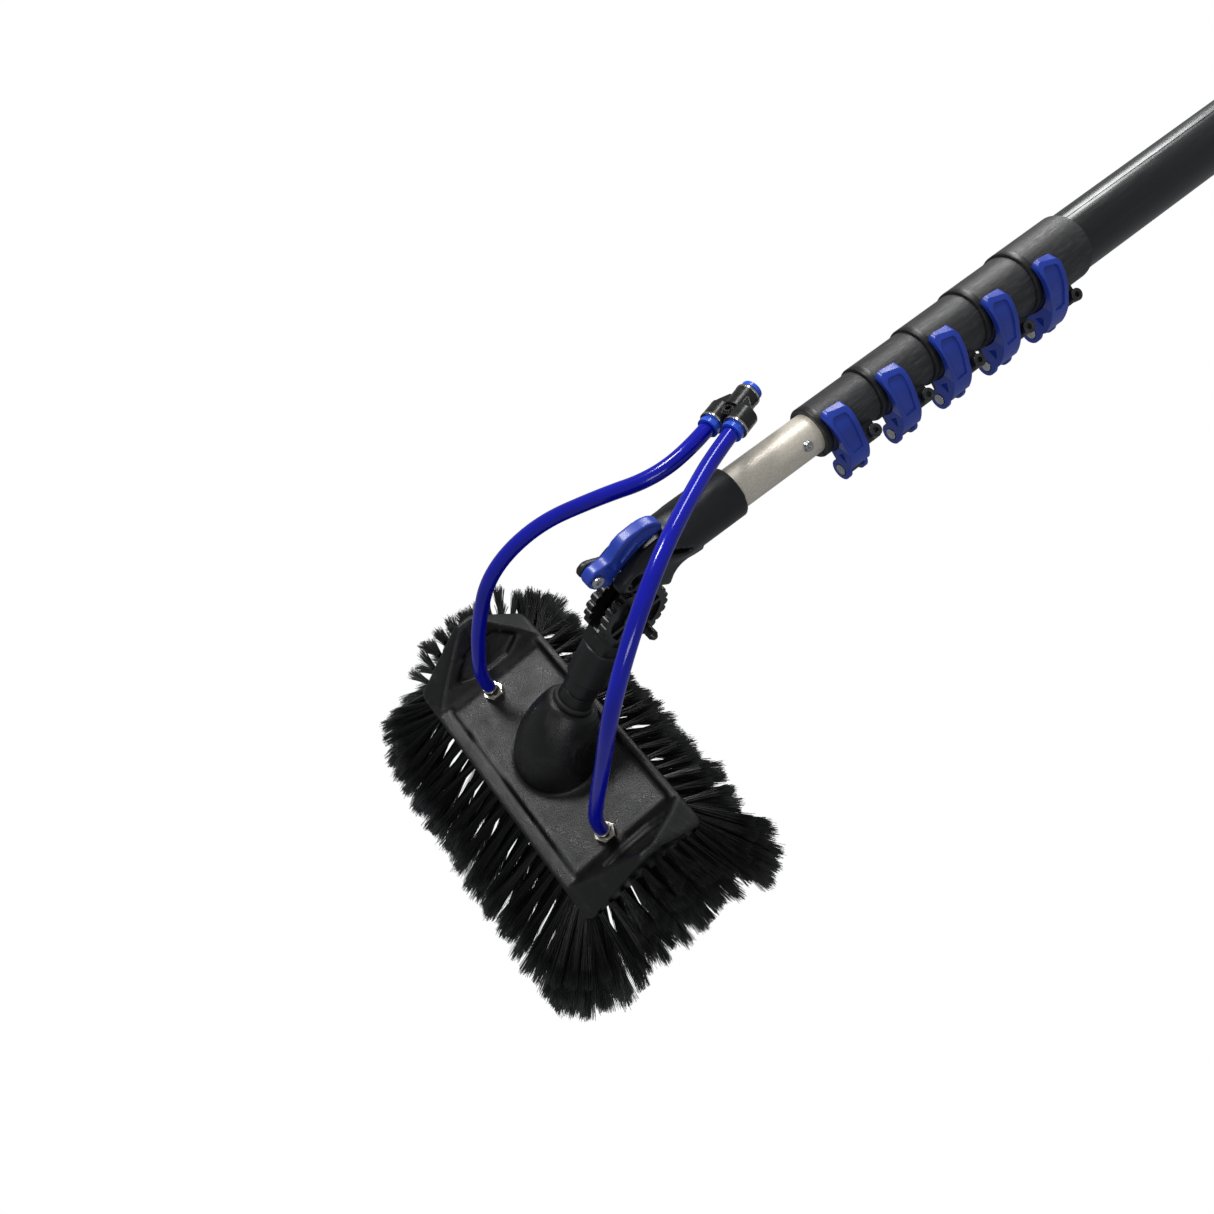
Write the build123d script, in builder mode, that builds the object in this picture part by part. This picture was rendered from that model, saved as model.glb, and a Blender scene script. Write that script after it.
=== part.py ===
from build123d import *
import math
import os

os.makedirs("parts", exist_ok=True)

# ---------------------------------------------------------------- driving dimensions (mm)
# brush block
BLOCK_L = 172.0            # long axis of the moulded block (Y)
BLOCK_W = 79.0             # across the block (X)
BLOCK_X0 = 1.0             # middle of the block across X
PAN_T = 14.0               # block thickness under the pan floor
WING_H = 33.0              # height of the turned up end above the pan floor
WING_PEAK_X = 9.0          # where the end's top edge is highest
BRISTLE_DEPTH = 76.0       # pan floor to bristle tips
JET_X, JET_Y = -3.0, 55.0  # water jets
JET_TOP = 11.0
# pole
TUBE_D = [22.0, 24.5, 27.0, 29.4, 31.8, 34.2]   # outside diameters, tip to butt
SLIDE_GAP = 0.3            # radial gap between telescoping sections
RIM_X, RIM_Z = 150.0, 107.0  # pole axis at the rim of the angle adapter's sleeve, above the pan floor
TIP_SHOWN = 51.4           # tip tube between the sleeve rim and the first clamp
PITCH = 35.4               # clamp to clamp
LAST_SLEEVE = 40.4
POLE_END = 1690.0          # butt end of the outer tube, along the axis from the sleeve rim
CAP_END = 1694.0
CAP_R = 19.2
CAP_ROUND = 3.0
CLAMP_WALL = 1.6
# clamp levers
LEVER_SHIFT = [0.8, 0.6, 0.4, 0.2, 0.0]      # lever's place along each clamp
LEVER_ROLL = [0.0, 2.0, 4.0, 6.0, 8.0]          # and round it
PIN_OUT = 11.8             # lever pin outside the clamp's skin
PIN_R = 2.0
PIN_ANGLE = 229.0          # in the pole's cross-section, 0 = +Y, 90 = up
SPLIT_ANGLE = 208.0
# angle adapter
HUB_X, HUB_Z = 77.0, 83.0  # tilt axis above the pan floor
HUB_DRUM_R = 18.6
HUB_TOOTH_R = 20.6
CHEEK_IN, CHEEK_OUT = 10.8, 14.6
SPIGOT_RUN = 65.1          # tilt axis to the socket's mouth
SOCKET_X, SOCKET_Z = 28.0, 38.0
# water lines
HOSE_R = 4.0
WYE_SPACING = 13.6
WYE_R = 6.3

ZP = BRISTLE_DEPTH
# slope of the pole: brush flat on its tips, butt cap on the same floor
need = RIM_Z + ZP - CAP_ROUND
theta = 0.09
for _ in range(50):
    theta = math.asin((need - (CAP_R - CAP_ROUND) * math.cos(theta)) / (CAP_END - CAP_ROUND))
CT, ST = math.cos(theta), math.sin(theta)
# the object's middle along X is the frame's origin
TIP_A_X = -90.0            # bristle tips on the flat side
X_LOW = TIP_A_X
# the cap's end face leans, so the top of its rounded rim reaches furthest
X_HIGH = RIM_X + (CAP_END - CAP_ROUND) * CT + (CAP_R - CAP_ROUND) * ST + CAP_ROUND
XC = (X_LOW + X_HIGH) / 2


def W(x, y, z):
    """block coordinates (pan floor z = 0) to the row frame"""
    return Vector(x - XC, y, z + ZP)


def pole_point(a, y=0.0, v=0.0):
    """a along the pole from the sleeve rim to the butt, v up across it"""
    return W(RIM_X + a * CT + v * ST, y, RIM_Z - a * ST + v * CT)


POLE_DIR = Vector(CT, 0, -ST)


def pole_plane(a):
    """cross-section: local x = +Y, local y = up, normal towards the butt"""
    return Plane(origin=pole_point(a), x_dir=(0, 1, 0), z_dir=POLE_DIR)


def side_plane(y):
    """lengthwise section of the pole: local x = a, local y = v, normal -Y"""
    return Plane(origin=pole_point(0, y), x_dir=POLE_DIR, z_dir=(0, -1, 0))


def xz_plane(y):
    return Plane(origin=W(0, y, 0), x_dir=(1, 0, 0), z_dir=(0, -1, 0))


def polar(r, deg):
    return (r * math.cos(math.radians(deg)), r * math.sin(math.radians(deg)))


def corners(sketch, *points):
    """vertices of a sketch that lie at the given local points"""
    return [p for p in sketch.vertices() if min((Vector(p.X, p.Y, 0) - Vector(u, v, 0)).length for u, v in points) < 0.01]


def finish(builder, name):
    builder.part.label = name
    export_step(builder.part, f"parts/{name}.step")


CLAMP_A = [TIP_SHOWN + PITCH * i for i in range(5)]
TUBE_FRONT = [-24.0] + [a + 14.0 for a in CLAMP_A]
TUBE_REAR = [1580.0, 1600.0, 1620.0, 1640.0, 1660.0, POLE_END]
TUBE_NAMES = ["tip_tube", "tube_2", "tube_3", "tube_4", "tube_5", "outer_tube"]

# stop rivet on the tip section, near the first clamp
RIVET_A, RIVET_ANG = 42.0, 146.0
rx, ry = polar(TUBE_D[0] / 2, RIVET_ANG)
rivet_plane = Plane(origin=pole_point(RIVET_A, rx, ry), x_dir=POLE_DIR,
                    z_dir=Vector(0, rx, 0) + Vector(ST, 0, CT) * ry)

# ---------------------------------------------------------------- telescopic tubes and their end plugs
for i in range(6):
    r_out = TUBE_D[i] / 2
    r_in = (TUBE_D[i - 1] / 2 + SLIDE_GAP) if i else r_out - 1.2
    with BuildPart() as tube:
        with BuildSketch(pole_plane(TUBE_FRONT[i])):
            Circle(r_out)
            Circle(r_in, mode=Mode.SUBTRACT)
        extrude(amount=TUBE_REAR[i] - TUBE_FRONT[i])
        if i == 5:
            # shallow anti-rotation key channel along the top of the outer tube
            with BuildSketch(pole_plane(CLAMP_A[4] + LAST_SLEEVE + 0.5)):
                with Locations(polar(r_out, 80)):
                    Rectangle(0.6, 2.2, rotation=80)
            extrude(amount=POLE_END - CLAMP_A[4] - LAST_SLEEVE - 26.5, mode=Mode.SUBTRACT)
        if i == 0:
            # hole for the stop rivet
            with BuildSketch(rivet_plane):
                Circle(1.6)
            extrude(amount=-6, mode=Mode.SUBTRACT)
    finish(tube, TUBE_NAMES[i])
    if i < 5:
        with BuildPart() as plug:
            with BuildSketch(pole_plane(TUBE_REAR[i] - 14)):
                Circle(r_in)
                Circle(r_in - 3.0, mode=Mode.SUBTRACT)
            extrude(amount=14)
            with BuildSketch(pole_plane(TUBE_REAR[i])):
                Circle(r_out)
                Circle(r_in - 3.0, mode=Mode.SUBTRACT)
            extrude(amount=3.0)
        finish(plug, f"tube_end_plug_{i + 1}")

with BuildPart() as butt_cap:
    with BuildSketch(pole_plane(POLE_END - 26)):
        Circle(CAP_R)
    extrude(amount=CAP_END - POLE_END + 26)
    with BuildSketch(pole_plane(POLE_END - 26)):
        Circle(TUBE_D[5] / 2)
    extrude(amount=26, mode=Mode.SUBTRACT)
    end_edge = butt_cap.edges().filter_by(GeomType.CIRCLE).sort_by(Axis.X).group_by(
        lambda e: round(e.radius, 3))[-1].sort_by(Axis.X)[-1:]
    fillet(end_edge, CAP_ROUND)
    # grip grooves round the cap
    for g in (6.0, 10.0, 14.0):
        with BuildSketch(pole_plane(POLE_END - 26 + g)):
            Circle(CAP_R + 1)
            Circle(CAP_R - 0.5, mode=Mode.SUBTRACT)
        extrude(amount=1.4, mode=Mode.SUBTRACT)
finish(butt_cap, "butt_cap")

# ---------------------------------------------------------------- clamps, levers, pins and screws
for k in range(5):
    a0 = CLAMP_A[k]
    r_tube = TUBE_D[k] / 2            # section gripped by the band
    r_own = TUBE_D[k + 1] / 2         # section the clamp is fixed on
    rc = r_own + CLAMP_WALL
    length = LAST_SLEEVE if k == 4 else PITCH - 0.6
    al = a0 + LEVER_SHIFT[k]
    roll = LEVER_ROLL[k]
    split = SPLIT_ANGLE + roll

    def pol(r, ang):
        return polar(r, ang + roll)

    pin_x, pin_y = pol(rc + PIN_OUT, PIN_ANGLE)

    with BuildPart() as collar:
        with BuildSketch(pole_plane(a0)):
            Circle(rc - 0.3)
        extrude(amount=3.4)
        with BuildSketch(pole_plane(a0 + 3.4)):
            Circle(rc)
        extrude(amount=length - 3.4)
        # pinch lugs either side of the split
        with BuildSketch(pole_plane(a0 + 19.7)):
            with Locations(pol(rc + 2.6, SPLIT_ANGLE)):
                RectangleRounded(11.0, 12.0, 2.2, rotation=split)
        extrude(amount=8.4)
        # lever ear
        with BuildSketch(pole_plane(al + 8.9)):
            with Locations((pin_x, pin_y)):
                Circle(4.4)
            with Locations(pol(rc - 2.5, PIN_ANGLE + 3)):
                Circle(5.4)
            make_hull()
        extrude(amount=7.2)
        # band that grips the next section, and the seat on its own section
        with BuildSketch(pole_plane(a0 - 1)):
            Circle(r_tube + SLIDE_GAP)
        extrude(amount=15.0, mode=Mode.SUBTRACT)
        with BuildSketch(pole_plane(a0 + 14.0)):
            Circle(r_own)
        extrude(amount=length, mode=Mode.SUBTRACT)
        # split
        with BuildSketch(pole_plane(a0 - 1)):
            with Locations(pol(rc + 3.0, SPLIT_ANGLE)):
                Rectangle(14.0, 1.3, rotation=split)
        extrude(amount=length + 2, mode=Mode.SUBTRACT)
        # relief slot that frees the band from the sleeve on the lever's side
        with BuildSketch(pole_plane(a0 + 16.8)):
            with BuildLine():
                Polyline((0, 0), pol(40, 170), pol(44, 205), pol(44, 235), pol(40, 262), (0, 0))
            make_face()
            Circle(r_own - 0.2, mode=Mode.SUBTRACT)
        extrude(amount=1.5, mode=Mode.SUBTRACT)
        # pin hole
        with BuildSketch(pole_plane(al + 7)):
            with Locations((pin_x, pin_y)):
                Circle(PIN_R + 0.05)
        extrude(amount=11, mode=Mode.SUBTRACT)
        # tangential screw hole through both lugs
        sx, sy = pol(rc + 4.4, SPLIT_ANGLE)
        tx, ty = pol(1.0, SPLIT_ANGLE - 90)
        screw_origin = pole_point(a0 + 23.9, sx + 8 * tx, sy + 8 * ty)
        screw_dir = Vector(0, -tx, 0) + Vector(ST, 0, CT) * (-ty)
        screw_plane = Plane(origin=screw_origin, x_dir=POLE_DIR, z_dir=screw_dir)
        with BuildSketch(screw_plane):
            Circle(2.05)
        extrude(amount=16, mode=Mode.SUBTRACT)
    finish(collar, f"clamp_collar_{k + 1}")

    with BuildPart() as screw:
        # cap screw with a hex socket on the near lug, square nut on the far one
        with BuildSketch(screw_plane):
            Circle(3.4)
        extrude(amount=-3.2)
        with BuildSketch(screw_plane.offset(-3.2)):
            RegularPolygon(1.7, 6)
        extrude(amount=1.8, mode=Mode.SUBTRACT)
        with BuildSketch(screw_plane):
            Circle(2.0)
        extrude(amount=16.6)
        with BuildSketch(screw_plane.offset(14.05)):
            RegularPolygon(3.5, 6)
            Circle(2.0, mode=Mode.SUBTRACT)
        extrude(amount=2.2)
    finish(screw, f"clamp_screw_{k + 1}")

    # lever: a thin paddle along the clamp that grows two flanges near the pin
    outer = [(rc + dr, ang) for dr, ang in ((4.4, 103), (4.0, 120), (3.8, 140), (4.1, 158), (5.2, 175), (7.9, 190), (13.2, 211))]
    o_pts = [pol(*p) for p in outer]
    d_pts = [pol(p[0] - 0.9, p[1]) for p in outer]
    i_pts = [pol(rc - 1.5, ang) for ang in (226, 205, 185, 165, 145, 125)] + [pol(rc + 1.3, 107)]
    c_pts = [pol(rc + 0.8, 168), pol(rc + 2.6, 176), pol(rc + 5.2, 190), pol(rc + 10.3, 211)]
    v_left = (rc + 4) * math.sin(math.radians(104 + roll))
    v_right = (rc + 4) * math.sin(math.radians(119 + roll))
    v_bot = -(rc + 19.0)
    out_plane = Plane(origin=pole_point(al, -60, 0), x_dir=POLE_DIR, z_dir=(0, -1, 0))

    with BuildPart() as recess:
        # finger recess inside the raised rim of the lever's face
        with BuildSketch(pole_plane(al)):
            with BuildLine():
                Spline(*d_pts)
                Polyline(d_pts[-1], pol(rc + 26, 211), pol(rc + 26, 158), pol(rc + 26, 103), d_pts[0])
            make_face()
        extrude(amount=22)
        with BuildSketch(out_plane) as rim:
            with BuildLine():
                Polyline((2.6, v_left - 2.4), (12.9, v_right - 1.6), (15.4, -rc * 0.30), (9.0, -rc * 0.34), close=True)
            make_face()
            fillet(corners(rim, (2.6, v_left - 2.4), (12.9, v_right - 1.6)), 2.2)
        extrude(amount=-(60 + rc + 4), mode=Mode.INTERSECT)

    with BuildPart() as lever:
        with BuildSketch(pole_plane(al + 0.2)):
            with BuildLine():
                Spline(*o_pts)
                Polyline(o_pts[-1], (pin_x, pin_y), *i_pts, o_pts[0])
            make_face()
            with Locations((pin_x, pin_y)):
                Circle(5.9)
            Circle(rc + 0.7, mode=Mode.SUBTRACT)
        extrude(amount=19.2)
        # channel between the two flanges
        with BuildSketch(pole_plane(al + 8.3)):
            with BuildLine():
                Polyline(*c_pts, pol(rc + 16.0, 218), pol(rc + 21.0, 225), pol(rc + 23.0, 240), pol(rc + 8.0, 262),
                         (0, 0), pol(rc + 0.5, 160), c_pts[0])
            make_face()
        extrude(amount=8.4, mode=Mode.SUBTRACT)
        # outline seen from the lever's own side: wide slanted free end with round corners
        with BuildSketch(out_plane) as outline:
            with BuildLine():
                Polyline((6.0, v_bot), (18.9, v_bot), (18.9, -rc * 0.4), (15.2, v_right), (0.4, v_left), (6.0, -rc * 0.30), close=True)
            make_face()
            fillet(corners(outline, (15.2, v_right), (0.4, v_left)), 3.0)
        extrude(amount=-(60 + rc + 4), mode=Mode.INTERSECT)
        add(recess.part, mode=Mode.SUBTRACT)
        # triangular pocket in the front flange and a dimple in the face
        with BuildSketch(pole_plane(al + 5)):
            with BuildLine():
                Polyline(pol(rc + 3.6, 214), pol(rc + 9.4, 209), pol(rc + 4.6, 199), close=True)
            make_face()
        extrude(amount=2.4, mode=Mode.SUBTRACT)
        dimple = 184 + roll
        with BuildSketch(Plane(origin=pole_point(al + 12.6, *pol(rc + 7.4, 184)), x_dir=POLE_DIR,
                               z_dir=Vector(0, math.cos(math.radians(dimple - 12)), 0)
                               + Vector(ST, 0, CT) * math.sin(math.radians(dimple - 12)))):
            Circle(1.5)
            Circle(0.7, mode=Mode.SUBTRACT)
        extrude(amount=-1.2, mode=Mode.SUBTRACT)
        # pin bore and the counterbore for the pin's head
        with BuildSketch(pole_plane(al + 4)):
            with Locations((pin_x, pin_y)):
                Circle(PIN_R + 0.06)
        extrude(amount=17, mode=Mode.SUBTRACT)
        with BuildSketch(pole_plane(al + 4)):
            with Locations((pin_x, pin_y)):
                Circle(3.5)
        extrude(amount=3.2, mode=Mode.SUBTRACT)
    finish(lever, f"clamp_lever_{k + 1}")

    with BuildPart() as pin:
        with BuildSketch(pole_plane(al + 5.8)):
            with Locations((pin_x, pin_y)):
                Circle(3.05)
        extrude(amount=1.4)
        with BuildSketch(pole_plane(al + 7.2)):
            with Locations((pin_x, pin_y)):
                Circle(PIN_R)
        extrude(amount=11.5)
    finish(pin, f"lever_pin_{k + 1}")

with BuildPart() as tip_rivet:
    with BuildSketch(rivet_plane.offset(-0.6)):
        Circle(3.1)
    extrude(amount=1.9, taper=26)
    with BuildSketch(rivet_plane.offset(0.6)):
        Circle(0.8)
    extrude(amount=1.2, mode=Mode.SUBTRACT)
    with BuildSketch(pole_plane(RIVET_A - 5)):
        Circle(TUBE_D[0] / 2)
    extrude(amount=10, mode=Mode.SUBTRACT)
    with BuildSketch(rivet_plane.offset(-2.4)):
        Circle(1.6)
    extrude(amount=2.9)
finish(tip_rivet, "tip_rivet")

# ---------------------------------------------------------------- moulded block with turned up ends and the socket dome
SU = Vector(HUB_X - SOCKET_X, 0, HUB_Z - SOCKET_Z).normalized()   # spigot direction


def spigot_plane(s):
    return Plane(origin=W(SOCKET_X, 0, SOCKET_Z) + SU * s, x_dir=(0, 1, 0), z_dir=SU)


def yz_plane(x):
    """local x = +Y, local y = up, normal +X"""
    return Plane(origin=W(x, 0, 0), x_dir=(0, 1, 0), z_dir=(1, 0, 0))


X_A, X_B = BLOCK_X0 - BLOCK_W / 2, BLOCK_X0 + BLOCK_W / 2
HALF = BLOCK_L / 2
profile = [(0, -PAN_T), (62, -PAN_T), (79, -9), (86, 1), (HALF + 3, WING_H - 1.5), (HALF + 1.5, WING_H + 1),
           (HALF - 1.5, WING_H), (71, 10.5), (65, 3.0), (61, 0), (0, 0)]
with BuildPart() as block:
    with BuildSketch(yz_plane(X_A)):
        with BuildLine():
            Polyline(*profile, close=True)
        make_face()
        with BuildLine():
            Polyline(*[(-p[0], p[1]) for p in profile], close=True)
        make_face()
    extrude(amount=BLOCK_W)
    # raised rims along both long sides
    for x0, x1, h in ((X_A, X_A + 9, 3.2), (X_B - 5, X_B, 3.6)):
        with BuildSketch(Plane(origin=W(0, 0, -1))):
            with Locations(((x0 + x1) / 2, 0)):
                Rectangle(x1 - x0, 2 * 72)
        extrude(amount=h + 1)
    # ends rise from the corners to a peak
    with BuildSketch(xz_plane(-120)):
        with BuildLine():
            Polyline((X_A - 2, 2.0), (X_A + 3, 4.2), (WING_PEAK_X - 4, WING_H + 1.5), (WING_PEAK_X + 4, WING_H + 1.5),
                     (X_B - 2, 4.6), (X_B + 2, 2.5), (X_B + 20, 2.5), (X_B + 20, 60), (X_A - 20, 60), (X_A - 20, 2.0),
                     close=True)
        make_face()
    extrude(amount=-240, mode=Mode.SUBTRACT)
    # plan outline with rounded corners
    with BuildSketch(Plane(origin=W(BLOCK_X0, 0, -PAN_T - 1))):
        RectangleRounded(BLOCK_W, BLOCK_L + 6, 9)
    extrude(amount=PAN_T + WING_H + 6, mode=Mode.INTERSECT)
    # hollow on the inner face of each end
    for sy in (1, -1):
        hollow = Plane(origin=W(WING_PEAK_X, sy * 74.0, 15.6), x_dir=(1, 0, 0),
                       z_dir=Vector(0, -sy * 0.785, 0.62))
        with BuildSketch(hollow):
            with BuildLine():
                if sy > 0:
                    Polyline((-25, -7), (-3, 13.5), (4, 13.5), (20, -6), (8, -12), (-12, -12), close=True)
                else:
                    Polyline((-25, 7), (-3, -13.5), (4, -13.5), (20, 6), (8, 12), (-12, 12), close=True)
            make_face()
        extrude(amount=-4.2, mode=Mode.SUBTRACT)
    # socket dome
    with BuildSketch(Plane(origin=W(4, 0, -1))):
        Circle(24.5)
    with BuildSketch(Plane(origin=W(8.5, 0, 14), x_dir=(0, 1, 0), z_dir=Vector(0.2, 0, 1).normalized())):
        Circle(23.4)
    with BuildSketch(Plane(origin=W(17.0, 0, 26.5), x_dir=(0, 1, 0), z_dir=Vector(0.5, 0, 0.85).normalized())):
        Circle(20.0)
    with BuildSketch(spigot_plane(0)):
        Circle(14.2)
    loft()
    with BuildSketch(spigot_plane(-12)):
        Circle(9.75)
    extrude(amount=30, mode=Mode.SUBTRACT)
    with BuildSketch(spigot_plane(-3.6)):
        Circle(30)
        Circle(14.6, mode=Mode.SUBTRACT)
    extrude(amount=1.1, mode=Mode.SUBTRACT)
    # holes for the two water jets
    with BuildSketch(Plane(origin=W(0, 0, -PAN_T - 1))):
        with Locations((JET_X, JET_Y), (JET_X, -JET_Y)):
            Circle(3.0)
    extrude(amount=PAN_T + 12, mode=Mode.SUBTRACT)
finish(block, "brush_block")

# ---------------------------------------------------------------- spigot, seal and tilt hub
with BuildPart() as brush_spigot:
    with BuildSketch(spigot_plane(-11)):
        Circle(9.75)
    extrude(amount=29)
    with BuildSketch(spigot_plane(18)):
        Circle(11.6)
    extrude(amount=23)
    # rounded shoulders
    for r, pick in ((1.2, 0), (1.6, -1)):
        ring = brush_spigot.edges().filter_by(GeomType.CIRCLE).filter_by(
            lambda e: abs(e.radius - 11.6) < 0.01).sort_by(Axis((0, 0, 0), tuple(SU)))[pick]
        fillet(ring, r)
    # pinch groove
    with BuildSketch(spigot_plane(9)):
        Circle(12)
        Circle(8.9, mode=Mode.SUBTRACT)
    extrude(amount=1.4, mode=Mode.SUBTRACT)
finish(brush_spigot, "brush_spigot")

with BuildPart() as spigot_seal:
    with BuildSketch(spigot_plane(0)):
        Circle(11.4)
        Circle(9.75, mode=Mode.SUBTRACT)
    extrude(amount=2.4)
    fillet(spigot_seal.edges().filter_by(GeomType.CIRCLE).filter_by(
        lambda e: e.radius > 11).sort_by(Axis((0, 0, 0), tuple(SU)))[-1], 0.9)
finish(spigot_seal, "spigot_seal")

HUB = W(HUB_X, 0, HUB_Z)
spigot_angle = math.degrees(math.atan2(-SU.Z, -SU.X)) % 360      # from the hub back to the spigot


def hub_plane(y):
    """local x = +X, local y = up, normal -Y"""
    return Plane(origin=W(HUB_X, y, HUB_Z), x_dir=(1, 0, 0), z_dir=(0, -1, 0))


DISC_IN, DISC_OUT = 3.8, 8.2        # each hub disc lies between these distances from the middle plane
with BuildPart() as tilt_hub:
    # two toothed discs
    with BuildSketch(hub_plane(DISC_OUT)):
        Circle(HUB_DRUM_R)
        with Locations(*[polar(18.0, spigot_angle + 52 + 16 * n) for n in range(17)]):
            Circle(2.4)
    extrude(amount=2 * DISC_OUT)
    # neck that meets the spigot
    with BuildSketch(hub_plane(DISC_OUT)):
        with BuildLine():
            Polyline(polar(13.5, spigot_angle - 48), polar(27.4, spigot_angle - 21.4), polar(27.4, spigot_angle + 21.4),
                     polar(13.5, spigot_angle + 48), close=True)
        make_face()
    extrude(amount=2 * DISC_OUT)
    with BuildSketch(spigot_plane(41)):
        Circle(30)
    extrude(amount=-20, mode=Mode.SUBTRACT)
    with BuildSketch(spigot_plane(41)):
        Circle(10.2)
    extrude(amount=6.5)
    # slot between the discs, closed by a web on the spigot's side
    with BuildSketch(hub_plane(DISC_IN)):
        Circle(22)
        with BuildLine():
            Polyline(polar(9.4, spigot_angle - 50), polar(34, spigot_angle - 46), polar(42, spigot_angle),
                     polar(34, spigot_angle + 46), polar(9.4, spigot_angle + 50), close=True)
        make_face(mode=Mode.SUBTRACT)
        Circle(9.4)
    extrude(amount=2 * DISC_IN, mode=Mode.SUBTRACT)
    # pockets in the outer faces that leave crossed ribs
    for y0, d in ((DISC_OUT + 0.1, 1), (-DISC_OUT - 0.1, -1)):
        with BuildSketch(hub_plane(y0)):
            Circle(15.4)
            Circle(7.4, mode=Mode.SUBTRACT)
            Rectangle(46, 2.6, rotation=spigot_angle + 45, mode=Mode.SUBTRACT)
            Rectangle(46, 2.6, rotation=spigot_angle - 45, mode=Mode.SUBTRACT)
            with Locations(polar(18, spigot_angle)):
                Rectangle(20, 8.0, rotation=spigot_angle, mode=Mode.SUBTRACT)
        extrude(amount=d * 2.2, mode=Mode.SUBTRACT)
    with BuildSketch(hub_plane(16)):
        Circle(4.0)
    extrude(amount=32, mode=Mode.SUBTRACT)
finish(tilt_hub, "tilt_hub")

# ---------------------------------------------------------------- angle adapter: sleeve, fork cheeks, axle, lever
def to_av(x, z):
    dx, dz = x - RIM_X, z - RIM_Z
    return (dx * CT - dz * ST, dx * ST + dz * CT)


H_AV = to_av(HUB_X, HUB_Z)
LP = (-82.8, 11.2)                  # adapter lever's pivot
CHEEK_IN, CHEEK_OUT = 4.0, 11.0      # each cheek lies between these distances from the middle plane
with BuildPart() as adapter:
    # goose neck that bends from the sleeve towards the hub
    neck = [(-26, 12.6), (-43, 12.8), (-47.5, 12.9), (-52, 12.8), (-57, 12.2), (-62, 11.2), (-67.5, 9.2), (-73, 6.2),
            (-76.4, 2.8), (-76.4, -0.2), (-72, -3.6), (-61.5, -9.6), (-51.0, -19.6), (-49.4, -20.6), (-47.8, -20.2),
            (-46.6, -17.6), (-45.2, -14.8), (-43.0, -12.4), (-40.0, -10.9), (-36.5, -10.6), (-33.0, -11.6), (-26, -12.4)]
    with BuildSketch(side_plane(CHEEK_OUT - 1.4)):
        with BuildLine():
            Polyline(*neck, close=True)
        make_face()
    extrude(amount=2 * (CHEEK_OUT - 1.4))
    for y0, d in ((CHEEK_OUT - 1.4, -1), (-CHEEK_OUT + 1.4, 1)):
        with BuildSketch(side_plane(y0)):
            with BuildLine():
                Polyline(*neck, close=True)
            make_face()
        extrude(amount=d * 1.4, taper=42)
    # round back that carries on the sleeve's shape
    with BuildSketch(pole_plane(-90)):
        Circle(13.4)
        with Locations((0, -16)):
            Rectangle(2 * CHEEK_OUT, 32)
    extrude(amount=70, mode=Mode.INTERSECT)
    with BuildSketch(pole_plane(-56)):
        Circle(8.6)
    with BuildSketch(pole_plane(-44)):
        Circle(12.0)
    with BuildSketch(pole_plane(-33)):
        Circle(13.6)
    loft()
    with BuildSketch(pole_plane(-33)):
        Circle(13.6)
    extrude(amount=33)
    # space between the cheeks
    with BuildSketch(side_plane(CHEEK_IN)):
        with BuildLine():
            Polyline((-44, 40), (-44, -60), (-120, -60), (-120, 40), close=True)
        make_face()
    extrude(amount=2 * CHEEK_IN, mode=Mode.SUBTRACT)
    # tongue between the hub's discs
    with BuildSketch(side_plane(3.2)):
        with BuildLine():
            Polyline((-42, 8), (-54, 5), (-66, -12), (H_AV[0] - 7.4, H_AV[1] + 4.2), (H_AV[0] + 4.2, H_AV[1] - 7.4),
                     (-52, -18), (-44, -12), (-42, -4), close=True)
        make_face()
        with Locations(H_AV):
            Circle(8.5)
    extrude(amount=6.4)
    # ear on the far side that carries the lever's axle
    with BuildSketch(side_plane(7.5)):
        with BuildLine():
            Polyline((LP[0] - 4.5, LP[1] + 0.6), (LP[0] + 1.6, LP[1] + 4.4), (-66, 6.4), (-62, -4), (-71, -2.0), close=True)
        make_face()
        with Locations(LP):
            Circle(4.6)
    extrude(amount=3.5)
    # bore for the tip tube
    with BuildSketch(pole_plane(-24)):
        Circle(TUBE_D[0] / 2)
    extrude(amount=26, mode=Mode.SUBTRACT)
    # pivot bores, oval window through the cheeks and slot at the elbow
    with BuildSketch(side_plane(20)):
        with Locations(H_AV):
            Circle(4.06)
        with Locations(LP):
            Circle(2.0)
        with Locations((-67.0, 1.2)):
            SlotOverall(9.8, 7.0, rotation=35)
    extrude(amount=40, mode=Mode.SUBTRACT)
    for y0, d in ((14, 1), (-14, -1)):
        with BuildSketch(side_plane(y0)):
            with Locations((-41.0, 2.0)):
                SlotOverall(13, 3.0, rotation=-25)
        extrude(amount=d * 6.6, mode=Mode.SUBTRACT)
finish(adapter, "angle_adapter")

with BuildPart() as axle:
    with BuildSketch(side_plane(DISC_OUT + 2.6)):
        with Locations(H_AV):
            RegularPolygon(6.2, 6)
    extrude(amount=2.6)
    with BuildSketch(side_plane(DISC_OUT)):
        with Locations(H_AV):
            Circle(4.0)
    extrude(amount=DISC_OUT + 15.0)
    # free end drawn down to a round finger
    with BuildSketch(side_plane(-14.0)):
        with Locations(H_AV):
            Circle(2.7)
    extrude(amount=8.0)
    with BuildSketch(side_plane(-22.0)):
        with Locations(H_AV):
            Circle(2.7)
    extrude(amount=1.8, taper=34)
finish(axle, "tilt_axle")

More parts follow.
